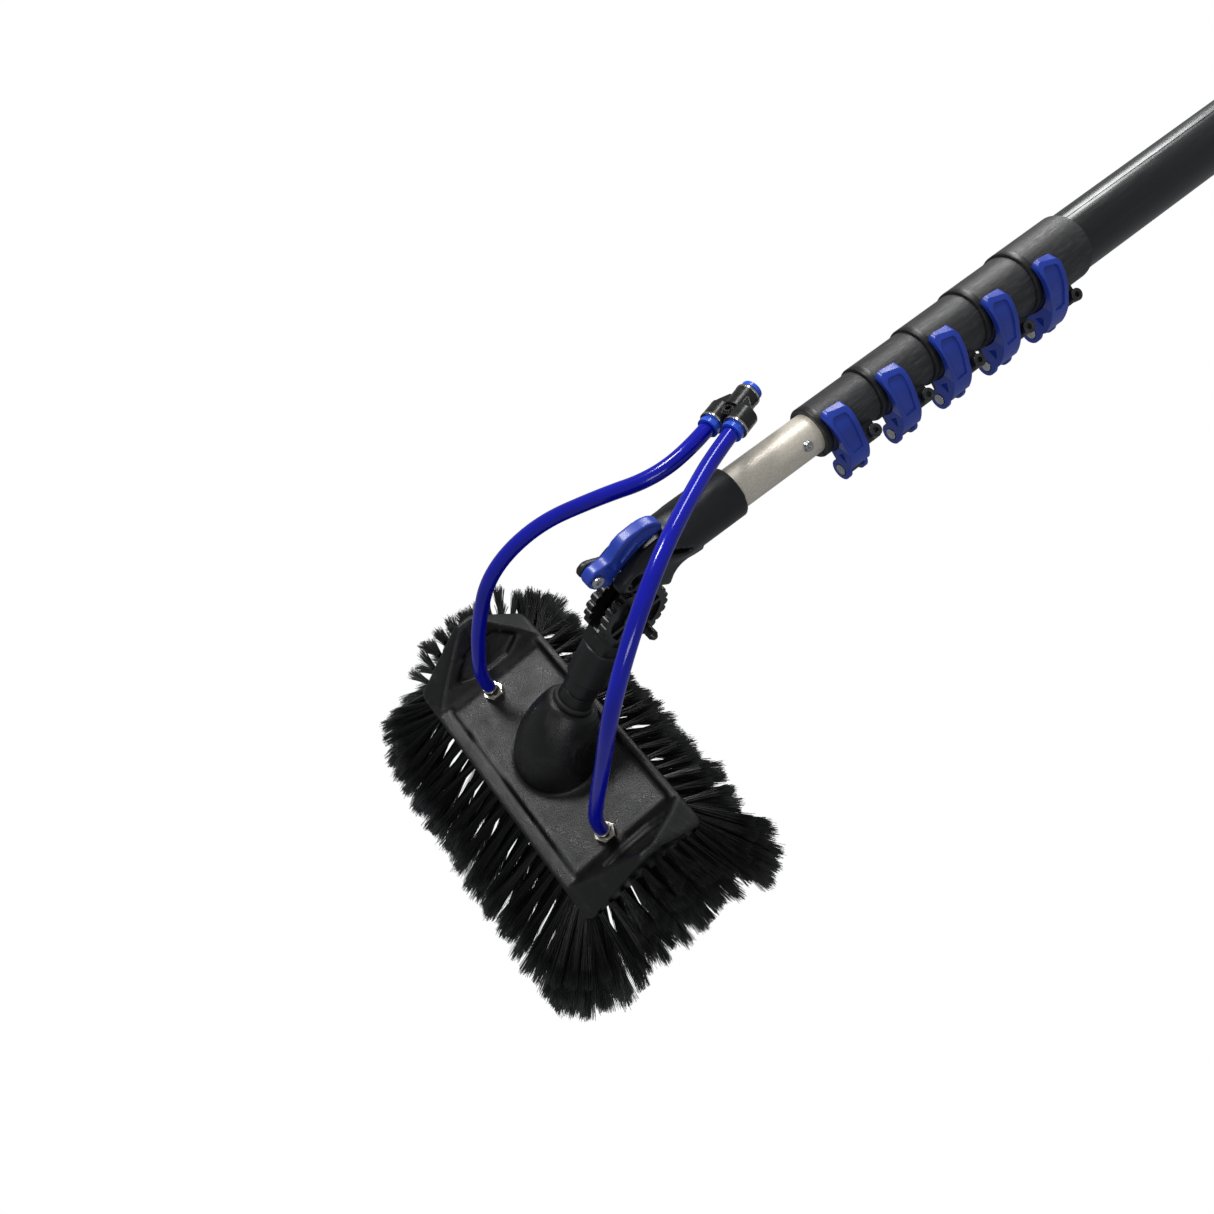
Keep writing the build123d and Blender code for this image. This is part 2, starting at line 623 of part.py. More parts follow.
LEVER_Y = 3.0
with BuildPart() as adapter_lever:
    with BuildSketch(side_plane(LEVER_Y)):
        with BuildLine():
            Spline((-86.6, 13.8), (-82.0, 17.0), (-75.0, 17.0), (-67.6, 22.4), (-58.0, 24.8), (-51.0, 24.2), (-43.6, 18.4))
            Polyline((-43.6, 18.4), (-43.4, 15.0), (-46.0, 14.2))
            Spline((-46.0, 14.2), (-52.0, 13.8), (-60.0, 11.4), (-68.0, 7.2), (-73.5, 4.2))
            Polyline((-73.5, 4.2), (-76.0, 0.5), (-80.0, 2.5), (-85.0, 5.4), (-87.2, 9.0), (-86.6, 13.8))
        make_face()
        with Locations(LP):
            Circle(4.8)
    extrude(amount=2 * LEVER_Y)
    # recessed flanks that leave a rim, curved ribs and a triangular pocket
    for y0, d in ((LEVER_Y + 0.1, 1), (-LEVER_Y - 0.1, -1)):
        with BuildSketch(side_plane(y0)):
            with BuildLine():
                Spline((-69.4, 12.4), (-65.5, 18.6), (-58.0, 22.4), (-51.0, 21.8), (-46.0, 17.6))
                Polyline((-46.0, 17.6), (-52.0, 17.8))
                Spline((-52.0, 17.8), (-58.0, 17.0), (-64.0, 13.6), (-68.2, 10.6))
                Line((-68.2, 10.6), (-69.4, 12.4))
            make_face()
            with BuildLine():
                Polyline((-66.4, 10.4), (-60.6, 13.4), (-54.0, 15.6), (-50.6, 15.4), (-60.0, 12.8), (-66.4, 9.6), close=True)
            make_face()
            with BuildLine():
                Polyline((-76.4, 14.8), (-71.4, 15.6), (-72.0, 8.8), close=True)
            make_face()
        extrude(amount=d * 1.1, mode=Mode.SUBTRACT)
    with BuildSketch(side_plane(10)):
        with Locations(LP):
            Circle(2.06)
    extrude(amount=20, mode=Mode.SUBTRACT)
finish(adapter_lever, "adapter_lever")

with BuildPart() as lever_axle:
    with BuildSketch(side_plane(7.5)):
        with Locations(LP):
            Circle(2.0)
    extrude(amount=7.5 + 3.3)
    with BuildSketch(side_plane(-3.3)):
        with Locations(LP):
            Circle(3.2)
            RegularPolygon(1.4, 6, mode=Mode.SUBTRACT)
    extrude(amount=1.5)
    with BuildSketch(side_plane(-3.3)):
        with Locations(LP):
            Circle(2.0)
    extrude(amount=0.5)
finish(lever_axle, "adapter_lever_axle")

# ---------------------------------------------------------------- jets
for side, sy in (("left", 1), ("right", -1)):
    with BuildPart() as jet:
        with BuildSketch(Plane(origin=W(JET_X, sy * JET_Y, -PAN_T + 0.5))):
            Circle(3.0)
        extrude(amount=PAN_T)
        with BuildSketch(Plane(origin=W(JET_X, sy * JET_Y, 0))):
            RegularPolygon(6.2, 6)
        extrude(amount=4.6)
        with BuildSketch(Plane(origin=W(JET_X, sy * JET_Y, 4.6))):
            Circle(4.6)
        extrude(amount=JET_TOP - 4.6)
        fillet(jet.edges().filter_by(GeomType.CIRCLE).sort_by(Axis.Z)[-1], 0.5)
        with BuildSketch(Plane(origin=W(JET_X, sy * JET_Y, -PAN_T))):
            Circle(1.6)
        extrude(amount=40, mode=Mode.SUBTRACT)
    finish(jet, f"jet_fitting_{side}")
    with BuildPart() as nozzle:
        with BuildSketch(Plane(origin=W(JET_X, sy * JET_Y, -PAN_T - 4))):
            Circle(3.6)
        extrude(amount=4)
        with BuildSketch(Plane(origin=W(JET_X, sy * JET_Y, -PAN_T))):
            Circle(3.0)
        extrude(amount=0.5)
        with BuildSketch(Plane(origin=W(JET_X, sy * JET_Y, -PAN_T - 4.5))):
            Circle(1.0)
        extrude(amount=6, mode=Mode.SUBTRACT)
        with BuildSketch(Plane(origin=W(JET_X, sy * JET_Y, -PAN_T - 4))):
            Rectangle(8, 0.8)
        extrude(amount=1.2, mode=Mode.SUBTRACT)
    finish(nozzle, f"jet_nozzle_{side}")

# ---------------------------------------------------------------- bristle fields
with BuildPart() as bristles_bottom:
    with BuildSketch(Plane(origin=W(BLOCK_X0, 0, -PAN_T))):
        RectangleRounded(62, 118, 6)
    with BuildSketch(Plane(origin=W(BLOCK_X0, 0, -BRISTLE_DEPTH))):
        RectangleRounded(98, 148, 10)
    loft()
    with BuildSketch(Plane(origin=W(0, 0, -BRISTLE_DEPTH - 1))):
        with Locations((JET_X, JET_Y), (JET_X, -JET_Y)):
            Circle(5.0)
    extrude(amount=BRISTLE_DEPTH, mode=Mode.SUBTRACT)
finish(bristles_bottom, "bristles_bottom")

SIDE = {
    "a": [(X_A - 0.5, -4), (-68, -9), (-83, -22), (-89, -38), (TIP_A_X, -60), (-80, -75), (-50.5, -75.5), (-32, -15),
          (X_A - 0.5, -15)],
    "b": [(X_B + 0.5, -4), (56, -6), (66, -18), (70, -42), (72, -66), (70, -75.5), (53, -75.5), (34, -15), (X_B + 0.5, -15)],
}
for side, pts in SIDE.items():
    with BuildPart() as field:
        with BuildSketch(xz_plane(62)):
            with BuildLine():
                Polyline(*pts, close=True)
            make_face()
        extrude(amount=124)
    # everything under the block starts below it
    finish(field, f"bristles_side_{side}")

END = [(65, -15), (81, -10.5), (88, -1), (91.5, 20), (103, 21), (113, 8), (121, -14), (119, -48), (110, -72), (80, -75.8),
       (76.5, -75.8)]
for side, sy in (("left", 1), ("right", -1)):
    with BuildPart() as field:
        with BuildSketch(yz_plane(TIP_A_X + 1)):
            with BuildLine():
                Polyline(*[(sy * p[0], p[1]) for p in END], close=True)
            make_face()
        extrude(amount=162)
        with BuildSketch(xz_plane(-130)):
            with BuildLine():
                Polyline((-86, -75.8), (71, -75.8), (68, -30), (58, -8), (X_B + 6, 0), (WING_PEAK_X + 6, 22),
                         (WING_PEAK_X - 6, 22), (X_A - 8, 0), (-76, -18), (-87, -44), close=True)
            make_face()
        extrude(amount=-260, mode=Mode.INTERSECT)
    finish(field, f"bristles_end_{side}")

# ---------------------------------------------------------------- two-into-one water connector
E_DIR = Vector(0.945, 0.30, -0.12).normalized()
sep0 = Vector(0.28, -0.92, 0.26)
S_DIR = (sep0 - E_DIR * sep0.dot(E_DIR)).normalized()      # left branch towards right branch
WYE = W(160.5, 13.6, 135.4)                                # middle of the two collet faces


def wye_plane(s, q=0.0, flip=False):
    return Plane(origin=WYE + E_DIR * s + S_DIR * q, x_dir=S_DIR, z_dir=E_DIR * (-1 if flip else 1))


HALF_S = WYE_SPACING / 2
WYE_L = 25.0                # collet face to collet face along the connector
with BuildPart() as wye:
    for q in (-HALF_S, HALF_S):
        with BuildSketch(wye_plane(2.4, q)):
            Circle(WYE_R)
        extrude(amount=8.6)
    with BuildSketch(wye_plane(11)):
        Circle(WYE_R)
    extrude(amount=WYE_L - 2.4 - 11)
    web_plane = Plane(origin=WYE, x_dir=E_DIR, z_dir=E_DIR.cross(S_DIR))
    wq = 1 if web_plane.y_dir.dot(S_DIR) > 0 else -1
    with BuildSketch(web_plane.offset(-4.4)):
        with BuildLine():
            Polyline((5, -HALF_S - 4.0), (10.4, -HALF_S - 4.6), (13.6, -HALF_S - 2.6), (18.0, -5.6), (18.0, 5.6),
                     (13.6, HALF_S + 2.6), (10.4, HALF_S + 4.6), (5, HALF_S + 4.0), close=True)
        make_face()
    extrude(amount=8.8)
    # tie eyelet between the branches
    with BuildSketch(web_plane.offset(-5.2)):
        with Locations((8.2, 0)):
            Circle(2.6)
    extrude(amount=10.4)
    # push-fit bores
    for q in (-HALF_S, HALF_S):
        with BuildSketch(wye_plane(2, q)):
            Circle(5.0)
        extrude(amount=4.4, mode=Mode.SUBTRACT)
        with BuildSketch(wye_plane(2, q)):
            Circle(HOSE_R)
        extrude(amount=6.0, mode=Mode.SUBTRACT)
        with BuildSketch(wye_plane(7, q)):
            Circle(2.2)
        extrude(amount=5.6, mode=Mode.SUBTRACT)
    with BuildSketch(wye_plane(WYE_L - 2, 0, True)):
        Circle(5.0)
    extrude(amount=4.4, mode=Mode.SUBTRACT)
    with BuildSketch(wye_plane(WYE_L - 2, 0, True)):
        Circle(HOSE_R)
    extrude(amount=6.0, mode=Mode.SUBTRACT)
    with BuildSketch(wye_plane(WYE_L - 7, 0, True)):
        Circle(2.2)
    extrude(amount=6.6, mode=Mode.SUBTRACT)
    # cross channel
    with BuildSketch(Plane(origin=WYE + E_DIR * 12.0 - S_DIR * (HALF_S + 0.6), x_dir=E_DIR, z_dir=S_DIR)):
        Circle(1.7)
    extrude(amount=WYE_SPACING + 1.2, mode=Mode.SUBTRACT)
    with BuildSketch(web_plane.offset(-6)):
        with Locations((8.2, 0)):
            Circle(1.45)
    extrude(amount=12, mode=Mode.SUBTRACT)
finish(wye, "y_connector_body")

for name, s0, q, flip in (("left", 0, -HALF_S, False), ("right", 0, HALF_S, False), ("inlet", WYE_L, 0, True)):
    sg = -1 if flip else 1
    with BuildPart() as collet:
        with BuildSketch(wye_plane(s0, q, flip)):
            Circle(5.5)
        extrude(amount=-2.2)
        with BuildSketch(wye_plane(s0, q, flip)):
            Circle(4.92)
        extrude(amount=4.6)
        with BuildSketch(wye_plane(s0 - sg * 3, q, flip)):
            Circle(HOSE_R + 0.08)
        extrude(amount=9, mode=Mode.SUBTRACT)
    finish(collet, f"y_collet_{name}")
    with BuildPart() as band:
        with BuildSketch(wye_plane(s0 + sg * 1.3, q, flip)):
            Circle(WYE_R + 0.15)
            Circle(5.05, mode=Mode.SUBTRACT)
        extrude(amount=1.1)
    finish(band, f"y_ring_{name}")

# ---------------------------------------------------------------- hoses
END_L = WYE + E_DIR * 8.0 - S_DIR * HALF_S
END_R = WYE + E_DIR * 8.0 + S_DIR * HALF_S
LEFT = [W(JET_X, JET_Y, JET_TOP), W(JET_X, JET_Y, 24), W(2.5, 55, 42), W(14.5, 57, 67), W(35, 58, 97), W(67, 52, 113.5), W(98, 34, 124)]
LEFT += [W(121.0, 17.6, 132.0), WYE - S_DIR * HALF_S - E_DIR * 13.5, END_L]
RIGHT = [W(JET_X, -JET_Y, JET_TOP), W(JET_X, -JET_Y, 25), W(4, -55, 46), W(17, -55.5, 77), W(33, -54, 114), W(59, -45, 142), W(92, -29.5, 155)]
RIGHT += [W(122, -12, 147.5), WYE + S_DIR * HALF_S - E_DIR * 15.0, END_R]


def bends(points):
    radii = []
    for p, c, n in zip(points, points[1:], points[2:]):
        a, b = c - p, n - c
        turn = math.acos(max(-1, min(1, a.dot(b) / (a.length * b.length))))
        radii.append(0.45 * min(a.length, b.length) / math.tan(turn / 2))
    return radii


for side, points in (("left", LEFT), ("right", RIGHT)):
    radii = bends(points)
    runs = [(b - a).length for a, b in zip(points, points[1:])]
    print(side, "runs", [round(v, 1) for v in runs], "radii", [round(v, 1) for v in radii])
    with BuildPart() as hose:
        with BuildLine() as route:
            FilletPolyline(*points, radius=radii)
        first = points[1] - points[0]
        with BuildSketch(Plane(origin=points[0], z_dir=first.normalized())):
            Circle(HOSE_R)
        sweep()
    total = sum(e.length for e in route.line.edges())
    print(side, "length", round(total, 1), "volume", round(hose.part.volume, 1),
          "expected", round(total * math.pi * HOSE_R ** 2, 1))
    finish(hose, f"hose_{side}")
    print(side, "points", [tuple(round(c, 3) for c in p) for p in points])
print("XC", XC, "theta", math.degrees(theta))
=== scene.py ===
import math

import bpy
import numpy as np
from mathutils import Matrix, Vector


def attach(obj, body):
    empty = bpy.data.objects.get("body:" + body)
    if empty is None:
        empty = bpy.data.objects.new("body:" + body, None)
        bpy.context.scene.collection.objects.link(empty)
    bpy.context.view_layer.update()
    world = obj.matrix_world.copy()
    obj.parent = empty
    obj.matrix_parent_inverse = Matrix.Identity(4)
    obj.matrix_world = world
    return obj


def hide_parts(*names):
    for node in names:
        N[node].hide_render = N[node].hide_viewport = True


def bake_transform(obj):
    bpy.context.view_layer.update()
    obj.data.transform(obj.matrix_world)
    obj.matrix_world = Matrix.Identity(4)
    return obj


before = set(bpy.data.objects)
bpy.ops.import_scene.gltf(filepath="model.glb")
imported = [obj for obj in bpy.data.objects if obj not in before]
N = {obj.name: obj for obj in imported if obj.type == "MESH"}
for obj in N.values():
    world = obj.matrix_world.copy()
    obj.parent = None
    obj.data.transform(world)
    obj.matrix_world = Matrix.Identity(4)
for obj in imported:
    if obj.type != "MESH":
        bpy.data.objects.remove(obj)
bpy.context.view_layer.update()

rng = np.random.default_rng(11)

# ------------------------------------------------------------------ sizes, in millimetres of the block's own axes
XC, ZP = 873.8052649371118, 76.0
TH = math.radians(5.561311179581831)
CT, ST = math.cos(TH), math.sin(TH)
RIM_X, RIM_Z = 150.0, 107.0
TIP_SHOWN, PITCH, LAST = 51.4, 35.4, 40.4
TUBE_D = [22.0, 24.5, 27.0, 29.4, 31.8, 34.2]
WALL = 1.6
CLAMP_A = [TIP_SHOWN + PITCH * i for i in range(5)]
OWNER = ["section_2", "section_3", "section_4", "section_5", "outer_section"]
X_A, X_B = -38.5, 40.5


def W(x, y, z):
    return Vector(((x - XC) / 1000, y / 1000, (z + ZP) / 1000))


def pole(a, y=0.0, v=0.0):
    return W(RIM_X + a * CT + v * ST, y, RIM_Z - a * ST + v * CT)


D = Vector((CT, 0, -ST))
UP = Vector((ST, 0, CT))
YV = Vector((0, 1, 0))
SU = Vector((77 - 28, 0, 83 - 38)).normalized()


def spig(s):
    return W(28, 0, 38) + SU * (s / 1000)


# ------------------------------------------------------------------ materials
def principled(name):
    m = bpy.data.materials.new(name)
    m.use_nodes = True
    return m, m.node_tree, m.node_tree.nodes["Principled BSDF"]


def add(nt, kind, **sets):
    n = nt.nodes.new(kind)
    for k, v in sets.items():
        setattr(n, k, v)
    return n


def coords(nt, scale=(1, 1, 1), rot=(0, 0, 0)):
    tc = add(nt, "ShaderNodeTexCoord")
    mp = add(nt, "ShaderNodeMapping")
    mp.inputs["Scale"].default_value = scale
    mp.inputs["Rotation"].default_value = rot
    nt.links.new(tc.outputs["Object"], mp.inputs["Vector"])
    return mp.outputs["Vector"]


def noise(nt, vec, scale, detail=5.0, rough=0.55, dist=0.0):
    n = add(nt, "ShaderNodeTexNoise")
    n.inputs["Scale"].default_value = scale
    n.inputs["Detail"].default_value = detail
    n.inputs["Roughness"].default_value = rough
    n.inputs["Distortion"].default_value = dist
    nt.links.new(vec, n.inputs["Vector"])
    return n.outputs[0]


def ramp(nt, fac, stops):
    r = add(nt, "ShaderNodeValToRGB")
    els = r.color_ramp.elements
    while len(els) < len(stops):
        els.new(0.5)
    for e, (p, c) in zip(els, stops):
        e.position = p
        e.color = (*c, 1)
    nt.links.new(fac, r.inputs["Fac"])
    return r.outputs["Color"]


def remap(nt, fac, lo, hi, a=0.0, b=1.0):
    r = add(nt, "ShaderNodeMapRange")
    r.inputs["From Min"].default_value = a
    r.inputs["From Max"].default_value = b
    r.inputs["To Min"].default_value = lo
    r.inputs["To Max"].default_value = hi
    nt.links.new(fac, r.inputs["Value"])
    return r.outputs["Result"]


def surface(name, stops, rough, scale=60.0, grain=1400.0, grain_bump=0.1, metallic=0.0, stretch=(1, 1, 1), rot=(0, 0, 0),
            bevel=0.0005, coat=0.0, spec=0.5, rough_scale=None, detail=6.0, sss=None, transmission=0.0, dist=0.0,
            bump_distance=0.0002):
    m, nt, b = principled(name)
    vec = coords(nt, stretch, rot)
    plain = coords(nt)
    big = noise(nt, vec, scale, detail, 0.6, dist)
    nt.links.new(ramp(nt, big, stops), b.inputs["Base Color"])
    fine = noise(nt, plain, grain, 3.0, 0.6)
    rn = noise(nt, vec, rough_scale or scale * 2.3, 4.0, 0.6)
    nt.links.new(remap(nt, rn, rough[0], rough[1], 0.3, 0.7), b.inputs["Roughness"])
    bp = add(nt, "ShaderNodeBump")
    bp.inputs["Strength"].default_value = grain_bump
    bp.inputs["Distance"].default_value = bump_distance
    nt.links.new(fine, bp.inputs["Height"])
    if bevel:
        bv = add(nt, "ShaderNodeBevel", samples=4)
        bv.inputs["Radius"].default_value = bevel
        nt.links.new(bv.outputs["Normal"], bp.inputs["Normal"])
    nt.links.new(bp.outputs["Normal"], b.inputs["Normal"])
    b.inputs["Metallic"].default_value = metallic
    b.inputs["Coat Weight"].default_value = coat
    b.inputs["Coat Roughness"].default_value = 0.12
    b.inputs["Specular IOR Level"].default_value = spec
    b.inputs["Transmission Weight"].default_value = transmission
    if sss:
        b.inputs["Subsurface Weight"].default_value = sss
        b.inputs["Subsurface Radius"].default_value = (0.002, 0.002, 0.006)
        b.inputs["Subsurface Scale"].default_value = 1.0
    return m


g = lambda v: (v, v, v)
MAT = {}
MAT["block"] = surface("moulded_block", [(0.40, g(0.003)), (0.54, g(0.0048)), (0.62, (0.013, 0.0126, 0.0118)), (0.76, (0.040, 0.038, 0.035))],
                       (0.24, 0.44), scale=42, grain=1300, grain_bump=0.6, bevel=0.0018, rough_scale=80, dist=1.4, bump_distance=0.0004,
                       spec=0.42, detail=10)
MAT["spigot"] = surface("black_nylon_spigot", [(0.3, g(0.0035)), (0.7, g(0.007))], (0.34, 0.46), scale=50, grain=1600, grain_bump=0.12,
                        bevel=0.0006)
MAT["hub"] = surface("black_nylon_hub", [(0.3, g(0.004)), (0.75, g(0.008))], (0.26, 0.40), scale=90, grain=1600, grain_bump=0.12,
                     bevel=0.0005)
MAT["adapter"] = surface("black_nylon_adapter", [(0.3, (0.006, 0.0065, 0.0072)), (0.7, (0.011, 0.0115, 0.0125))], (0.32, 0.44), scale=45, grain=1700,
                         grain_bump=0.2, bevel=0.0014)
MAT["rubber"] = surface("black_rubber", [(0.3, g(0.007)), (0.7, g(0.013))], (0.55, 0.7), scale=80, grain=1300, grain_bump=0.25, bevel=0.0004)
MAT["sleeve"] = surface("scuffed_sleeve", [(0.25, (0.014, 0.014, 0.015)), (0.5, (0.026, 0.026, 0.027)), (0.68, (0.050, 0.049, 0.048)),
                                           (0.82, (0.15, 0.148, 0.145))], (0.38, 0.60), scale=620, grain=2400, grain_bump=0.35,
                        stretch=(0.16, 1, 1), rot=(0, TH, 0), bevel=0.0005, detail=8)
MAT["band"] = surface("black_clamp_band", [(0.3, g(0.003)), (0.7, g(0.006))], (0.34, 0.46), scale=120, grain=1900, grain_bump=0.12, bevel=0.0005)
MAT["outer"] = surface("black_resin_tube", [(0.3, (0.004, 0.0042, 0.0048)), (0.62, (0.007, 0.0072, 0.008)), (0.8, (0.014, 0.014, 0.015))],
                       (0.24, 0.38), scale=240, grain=1900, grain_bump=0.12, stretch=(0.05, 1, 1), rot=(0, TH, 0), bevel=0.0, coat=0.15)
MAT["inner"] = surface("grey_inner_tube", [(0.3, g(0.02)), (0.7, g(0.035))], (0.3, 0.45), scale=240, grain=1900, grain_bump=0.12,
                       stretch=(0.05, 1, 1), rot=(0, TH, 0), bevel=0.0)
MAT["alu"] = surface("beige_anodised_tube", [(0.3, (0.64, 0.585, 0.48)), (0.5, (0.76, 0.705, 0.60)), (0.70, (0.88, 0.83, 0.73))], (0.34, 0.5),
                     scale=1500, grain=3000, grain_bump=0.1, metallic=0.45, stretch=(0.5, 1, 1), rot=(0, TH, 0), bevel=0.0)
MAT["steel"] = surface("zinc_fastener", [(0.3, g(0.44)), (0.7, g(0.66))], (0.16, 0.34), scale=300, grain=2600, grain_bump=0.08, metallic=1.0,
                       bevel=0.0003)
MAT["nickel"] = surface("nickel_fitting", [(0.3, (0.50, 0.46, 0.40)), (0.7, (0.74, 0.70, 0.64))], (0.10, 0.26), scale=260, grain=2200,
                        grain_bump=0.06, metallic=1.0, bevel=0.0004)
MAT["dark_steel"] = surface("darkened_fastener", [(0.3, g(0.05)), (0.7, g(0.12))], (0.24, 0.40), scale=300, grain=2600, grain_bump=0.08,
                           metallic=0.9, bevel=0.0003)
MAT["blue"] = surface("royal_blue_lever", [(0.3, (0.014, 0.045, 0.38)), (0.7, (0.020, 0.060, 0.48))], (0.26, 0.42), scale=70, grain=1700,
                      grain_bump=0.14, bevel=0.0007, coat=0.1)
MAT["hose"] = surface("blue_polyurethane", [(0.3, (0.001, 0.003, 0.30)), (0.7, (0.002, 0.006, 0.46))], (0.14, 0.18), scale=30, grain=60,
                      grain_bump=0.0, bevel=0.0, coat=0.25, spec=0.4)
MAT["collet"] = surface("blue_collet", [(0.3, (0.016, 0.07, 0.58)), (0.7, (0.03, 0.12, 0.78))], (0.18, 0.3), scale=160, grain=1500,
                        grain_bump=0.06, bevel=0.0004, coat=0.3)
MAT["ybody"] = surface("black_push_fit", [(0.3, g(0.007)), (0.7, g(0.013))], (0.18, 0.34), scale=150, grain=1500, grain_bump=0.12, bevel=0.0008)


def bristle_material(name):
    m, nt, b = principled(name)
    at = add(nt, "ShaderNodeAttribute", attribute_name="strand")
    nt.links.new(ramp(nt, at.outputs["Fac"], [(0.0, g(0.0008)), (0.7, g(0.002)), (1.0, g(0.007))]), b.inputs["Base Color"])
    nt.links.new(remap(nt, at.outputs["Fac"], 0.20, 0.42), b.inputs["Roughness"])
    b.inputs["Specular IOR Level"].default_value = 0.5
    b.inputs["Anisotropic"].default_value = 0.4
    return m


MAT["bristle"] = bristle_material("black_filament")

GIVE = {
    "brush_block": "block", "brush_spigot": "spigot", "spigot_seal": "rubber", "tilt_hub": "hub", "angle_adapter": "adapter",
    "adapter_lever": "blue", "adapter_lever_axle": "steel", "tilt_axle": "hub", "outer_tube": "outer", "tip_tube": "alu",
    "butt_cap": "rubber", "tip_rivet": "steel", "jet_fitting_left": "nickel", "jet_fitting_right": "nickel",
    "jet_nozzle_left": "nickel", "jet_nozzle_right": "nickel", "y_connector_body": "ybody", "y_ring_left": "nickel",
    "y_ring_right": "nickel", "y_ring_inlet": "nickel", "y_collet_left": "collet", "y_collet_right": "collet",
    "y_collet_inlet": "collet",
}
for i in range(2, 6):
    GIVE[f"tube_{i}"] = "inner"
for i in range(1, 6):
    GIVE[f"tube_end_plug_{i}"] = "rubber"
    GIVE[f"clamp_collar_{i}"] = "sleeve"
    GIVE[f"clamp_lever_{i}"] = "blue"
    GIVE[f"clamp_screw_{i}"] = "dark_steel"
    GIVE[f"lever_pin_{i}"] = "steel"
for node, o in N.items():
    key = GIVE.get(node)
    if key:
        o.data.materials.clear()
        o.data.materials.append(MAT[key])


# moulded pieces with generous radii
def soften(node, voxel, steps, factor=0.5):
    o = N[node]
    rm = o.modifiers.new("even", "REMESH")
    rm.mode = "VOXEL"
    rm.voxel_size = voxel
    rm.use_smooth_shade = True
    sm = o.modifiers.new("round", "SMOOTH")
    sm.factor = factor
    sm.iterations = steps


soften("brush_block", 0.0010, 14)
soften("angle_adapter", 0.0008, 7)
soften("adapter_lever", 0.0005, 4)


# ------------------------------------------------------------------ helpers for visual pieces
def mesh_object(name, verts, faces, mat, smooth=True, body=None, attr=None):
    me = bpy.data.meshes.new(name)
    me.from_pydata([tuple(v) for v in verts], [], [tuple(int(i) for i in f) for f in faces])
    me.update()
    if smooth:
        me.polygons.foreach_set("use_smooth", np.ones(len(me.polygons), bool))
    if attr is not None:
        a = me.attributes.new("strand", "FLOAT", "POINT")
        a.data.foreach_set("value", np.asarray(attr, np.float32))
    o = bpy.data.objects.new(name, me)
    bpy.context.scene.collection.objects.link(o)
    me.materials.append(mat)
    if body:
        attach(o, body)
    return o


def lathe(name, profile, origin, axis, xdir, mat, body, a0=0.0, a1=360.0, segs=72):
    """profile: closed list of (radius mm, along mm)"""
    axis = Vector(axis).normalized()
    xdir = Vector(xdir).normalized()
    ydir = axis.cross(xdir)
    full = abs(a1 - a0) >= 359.9
    n = segs if full else segs + 1
    verts, faces = [], []
    k = len(profile)
    for i in range(n):
        t = math.radians(a0 + (a1 - a0) * i / segs)
        for r, s in profile:
            verts.append(Vector(origin) + axis * (s / 1000) + (xdir * math.cos(t) + ydir * math.sin(t)) * (r / 1000))
    for i in range(segs):
        j = (i + 1) % n
        for p in range(k):
            q = (p + 1) % k
            faces.append((i * k + p, j * k + p, j * k + q, i * k + q))
    if not full:
        faces.append(tuple(range(k))[::-1])
        faces.append(tuple((n - 1) * k + p for p in range(k)))
    o = mesh_object(name, verts, faces, mat, True, None)
    bpy.context.view_layer.update()
    es = o.modifiers.new("edges", "EDGE_SPLIT")
    es.split_angle = math.radians(35)
    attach(o, body)
    return o


# ------------------------------------------------------------------ bristles: tufts of tapered filaments
def tuft_field(name, node, tufts, per, rad=0.24, sides=3, segs=4, spread=1.0):
    """tufts: list of (root, tip, sag vector) in block millimetres"""
    verts, faces, attr = [], [], []
    per = per
    ang = np.arange(sides) * 2 * math.pi / sides
    off = 0
    for root, tip, sag in tufts:
        root, tip, sag = (np.array(v, float) for v in (root, tip, sag))
        axis = tip - root
        length = np.linalg.norm(axis)
        axis /= length
        ref = np.array([0, 0, 1.0]) if abs(axis[2]) < 0.8 else np.array([1.0, 0, 0])
        u = np.cross(axis, ref); u /= np.linalg.norm(u)
        v = np.cross(axis, u)
        lean = rng.normal(0, 0.022, 2)
        for _ in range(per):
            rr = 2.3 * math.sqrt(rng.random()); th = rng.random() * 2 * math.pi
            c, s_ = math.cos(th) * rr, math.sin(th) * rr
            ln = length * (1 - abs(rng.normal(0, 0.035)))
            fan = spread * (1.0 + rng.normal(0, 0.25))
            wig = rng.normal(0, 0.012, 2)
            base = root + u * c * 0.62 + v * s_ * 0.62
            pts = []
            for k in range(segs + 1):
                t = k / segs
                p = base + axis * ln * t + (u * (c * 0.75 * fan + lean[0] * ln + wig[0] * ln * t) + v * (s_ * 0.75 * fan + lean[1] * ln + wig[1] * ln * t)) * t ** 1.3 + sag * t * t
                pts.append(p)
            tone = min(1.0, max(0.0, rng.normal(0.45, 0.22)))
            for k, p in enumerate(pts):
                t = k / segs
                r = rad * (1.0 - 0.35 * t)
                for a in ang:
                    q = p + (u * math.cos(a) + v * math.sin(a)) * r
                    verts.append(q)
                    attr.append(tone)
            for k in range(segs):
                for a in range(sides):
                    b = (a + 1) % sides
                    i0, i1 = off + k * sides, off + (k + 1) * sides
                    faces.append((i0 + a, i0 + b, i1 + b, i1 + a))
            faces.append(tuple(off + segs * sides + a for a in range(sides)))
            off += (segs + 1) * sides
    P = np.array(verts)
    P[:, 0] = np.clip(P[:, 0], -89.9, 96.0)
    P[:, 1] = np.clip(P[:, 1], -121.5, 121.5)
    P[:, 2] = np.clip(P[:, 2], -75.9, 200)
    P = np.column_stack([(P[:, 0] - XC) / 1000, P[:, 1] / 1000, (P[:, 2] + ZP) / 1000])
    o = mesh_object(name, P, faces, MAT["bristle"], True, "brush_head", attr)
    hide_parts(node)
    return o


def jit(s):
    return rng.normal(0, s)


